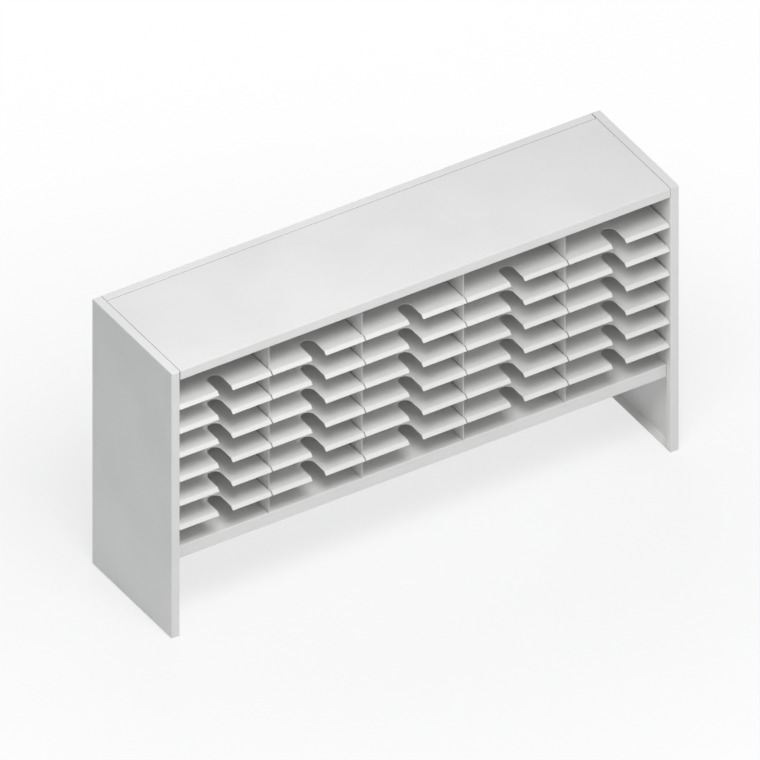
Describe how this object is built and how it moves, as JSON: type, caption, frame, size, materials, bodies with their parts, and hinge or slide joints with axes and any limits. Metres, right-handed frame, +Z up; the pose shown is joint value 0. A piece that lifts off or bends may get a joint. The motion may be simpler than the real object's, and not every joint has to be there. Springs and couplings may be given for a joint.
{
  "type": "pigeonhole mail sorter",
  "caption": "Steel pigeonhole mail sorter: open-front columns of pockets on a raised deck between full-height end panels, with notched pull-out shelves that have sloping front lips.",
  "frame": {"origin": "centre of the footprint on the table the end panels stand on", "axes": "+Z up, -Y out of the open front, +X to the right as seen from the front"},
  "size_m": [1.524, 0.381, 0.8382],
  "materials": {
    "panel_coat": "satin powder coat",
    "shelf_coat": "satin powder coat"
  },
  "bodies": {
    "carcass": {"left_end_panel": "panel_coat", "right_end_panel": "panel_coat", "left_liner": "panel_coat", "right_liner": "panel_coat", "top_panel": "panel_coat", "back_panel": "panel_coat", "deck_panel": "panel_coat", "divider_1": "panel_coat", "divider_2": "panel_coat", "divider_3": "panel_coat", "divider_4": "panel_coat"},
    "shelf_c1_r1": {"shelf_c1_r1": "shelf_coat"},
    "shelf_c1_r2": {"shelf_c1_r2": "shelf_coat"},
    "shelf_c1_r3": {"shelf_c1_r3": "shelf_coat"},
    "shelf_c1_r4": {"shelf_c1_r4": "shelf_coat"},
    "shelf_c1_r5": {"shelf_c1_r5": "shelf_coat"},
    "shelf_c1_r6": {"shelf_c1_r6": "shelf_coat"},
    "shelf_c2_r1": {"shelf_c2_r1": "shelf_coat"},
    "shelf_c2_r2": {"shelf_c2_r2": "shelf_coat"},
    "shelf_c2_r3": {"shelf_c2_r3": "shelf_coat"},
    "shelf_c2_r4": {"shelf_c2_r4": "shelf_coat"},
    "shelf_c2_r5": {"shelf_c2_r5": "shelf_coat"},
    "shelf_c2_r6": {"shelf_c2_r6": "shelf_coat"},
    "shelf_c3_r1": {"shelf_c3_r1": "shelf_coat"},
    "shelf_c3_r2": {"shelf_c3_r2": "shelf_coat"},
    "shelf_c3_r3": {"shelf_c3_r3": "shelf_coat"},
    "shelf_c3_r4": {"shelf_c3_r4": "shelf_coat"},
    "shelf_c3_r5": {"shelf_c3_r5": "shelf_coat"},
    "shelf_c3_r6": {"shelf_c3_r6": "shelf_coat"},
    "shelf_c4_r1": {"shelf_c4_r1": "shelf_coat"},
    "shelf_c4_r2": {"shelf_c4_r2": "shelf_coat"},
    "shelf_c4_r3": {"shelf_c4_r3": "shelf_coat"},
    "shelf_c4_r4": {"shelf_c4_r4": "shelf_coat"},
    "shelf_c4_r5": {"shelf_c4_r5": "shelf_coat"},
    "shelf_c4_r6": {"shelf_c4_r6": "shelf_coat"},
    "shelf_c5_r1": {"shelf_c5_r1": "shelf_coat"},
    "shelf_c5_r2": {"shelf_c5_r2": "shelf_coat"},
    "shelf_c5_r3": {"shelf_c5_r3": "shelf_coat"},
    "shelf_c5_r4": {"shelf_c5_r4": "shelf_coat"},
    "shelf_c5_r5": {"shelf_c5_r5": "shelf_coat"},
    "shelf_c5_r6": {"shelf_c5_r6": "shelf_coat"}
  },
  "joints": [
    {"name": "shelf_c1_r1_slide", "type": "slide", "parent": "carcass", "child": "shelf_c1_r1", "axis": [0, -1, 0], "range_m": [0, 0.36]},
    {"name": "shelf_c1_r2_slide", "type": "slide", "parent": "carcass", "child": "shelf_c1_r2", "axis": [0, -1, 0], "range_m": [0, 0.36]},
    {"name": "shelf_c1_r3_slide", "type": "slide", "parent": "carcass", "child": "shelf_c1_r3", "axis": [0, -1, 0], "range_m": [0, 0.36]},
    {"name": "shelf_c1_r4_slide", "type": "slide", "parent": "carcass", "child": "shelf_c1_r4", "axis": [0, -1, 0], "range_m": [0, 0.36]},
    {"name": "shelf_c1_r5_slide", "type": "slide", "parent": "carcass", "child": "shelf_c1_r5", "axis": [0, -1, 0], "range_m": [0, 0.36]},
    {"name": "shelf_c1_r6_slide", "type": "slide", "parent": "carcass", "child": "shelf_c1_r6", "axis": [0, -1, 0], "range_m": [0, 0.36]},
    {"name": "shelf_c2_r1_slide", "type": "slide", "parent": "carcass", "child": "shelf_c2_r1", "axis": [0, -1, 0], "range_m": [0, 0.36]},
    {"name": "shelf_c2_r2_slide", "type": "slide", "parent": "carcass", "child": "shelf_c2_r2", "axis": [0, -1, 0], "range_m": [0, 0.36]},
    {"name": "shelf_c2_r3_slide", "type": "slide", "parent": "carcass", "child": "shelf_c2_r3", "axis": [0, -1, 0], "range_m": [0, 0.36]},
    {"name": "shelf_c2_r4_slide", "type": "slide", "parent": "carcass", "child": "shelf_c2_r4", "axis": [0, -1, 0], "range_m": [0, 0.36]},
    {"name": "shelf_c2_r5_slide", "type": "slide", "parent": "carcass", "child": "shelf_c2_r5", "axis": [0, -1, 0], "range_m": [0, 0.36]},
    {"name": "shelf_c2_r6_slide", "type": "slide", "parent": "carcass", "child": "shelf_c2_r6", "axis": [0, -1, 0], "range_m": [0, 0.36]},
    {"name": "shelf_c3_r1_slide", "type": "slide", "parent": "carcass", "child": "shelf_c3_r1", "axis": [0, -1, 0], "range_m": [0, 0.36]},
    {"name": "shelf_c3_r2_slide", "type": "slide", "parent": "carcass", "child": "shelf_c3_r2", "axis": [0, -1, 0], "range_m": [0, 0.36]},
    {"name": "shelf_c3_r3_slide", "type": "slide", "parent": "carcass", "child": "shelf_c3_r3", "axis": [0, -1, 0], "range_m": [0, 0.36]},
    {"name": "shelf_c3_r4_slide", "type": "slide", "parent": "carcass", "child": "shelf_c3_r4", "axis": [0, -1, 0], "range_m": [0, 0.36]},
    {"name": "shelf_c3_r5_slide", "type": "slide", "parent": "carcass", "child": "shelf_c3_r5", "axis": [0, -1, 0], "range_m": [0, 0.36]},
    {"name": "shelf_c3_r6_slide", "type": "slide", "parent": "carcass", "child": "shelf_c3_r6", "axis": [0, -1, 0], "range_m": [0, 0.36]},
    {"name": "shelf_c4_r1_slide", "type": "slide", "parent": "carcass", "child": "shelf_c4_r1", "axis": [0, -1, 0], "range_m": [0, 0.36]},
    {"name": "shelf_c4_r2_slide", "type": "slide", "parent": "carcass", "child": "shelf_c4_r2", "axis": [0, -1, 0], "range_m": [0, 0.36]},
    {"name": "shelf_c4_r3_slide", "type": "slide", "parent": "carcass", "child": "shelf_c4_r3", "axis": [0, -1, 0], "range_m": [0, 0.36]},
    {"name": "shelf_c4_r4_slide", "type": "slide", "parent": "carcass", "child": "shelf_c4_r4", "axis": [0, -1, 0], "range_m": [0, 0.36]},
    {"name": "shelf_c4_r5_slide", "type": "slide", "parent": "carcass", "child": "shelf_c4_r5", "axis": [0, -1, 0], "range_m": [0, 0.36]},
    {"name": "shelf_c4_r6_slide", "type": "slide", "parent": "carcass", "child": "shelf_c4_r6", "axis": [0, -1, 0], "range_m": [0, 0.36]},
    {"name": "shelf_c5_r1_slide", "type": "slide", "parent": "carcass", "child": "shelf_c5_r1", "axis": [0, -1, 0], "range_m": [0, 0.36]},
    {"name": "shelf_c5_r2_slide", "type": "slide", "parent": "carcass", "child": "shelf_c5_r2", "axis": [0, -1, 0], "range_m": [0, 0.36]},
    {"name": "shelf_c5_r3_slide", "type": "slide", "parent": "carcass", "child": "shelf_c5_r3", "axis": [0, -1, 0], "range_m": [0, 0.36]},
    {"name": "shelf_c5_r4_slide", "type": "slide", "parent": "carcass", "child": "shelf_c5_r4", "axis": [0, -1, 0], "range_m": [0, 0.36]},
    {"name": "shelf_c5_r5_slide", "type": "slide", "parent": "carcass", "child": "shelf_c5_r5", "axis": [0, -1, 0], "range_m": [0, 0.36]},
    {"name": "shelf_c5_r6_slide", "type": "slide", "parent": "carcass", "child": "shelf_c5_r6", "axis": [0, -1, 0], "range_m": [0, 0.36]}
  ]
}
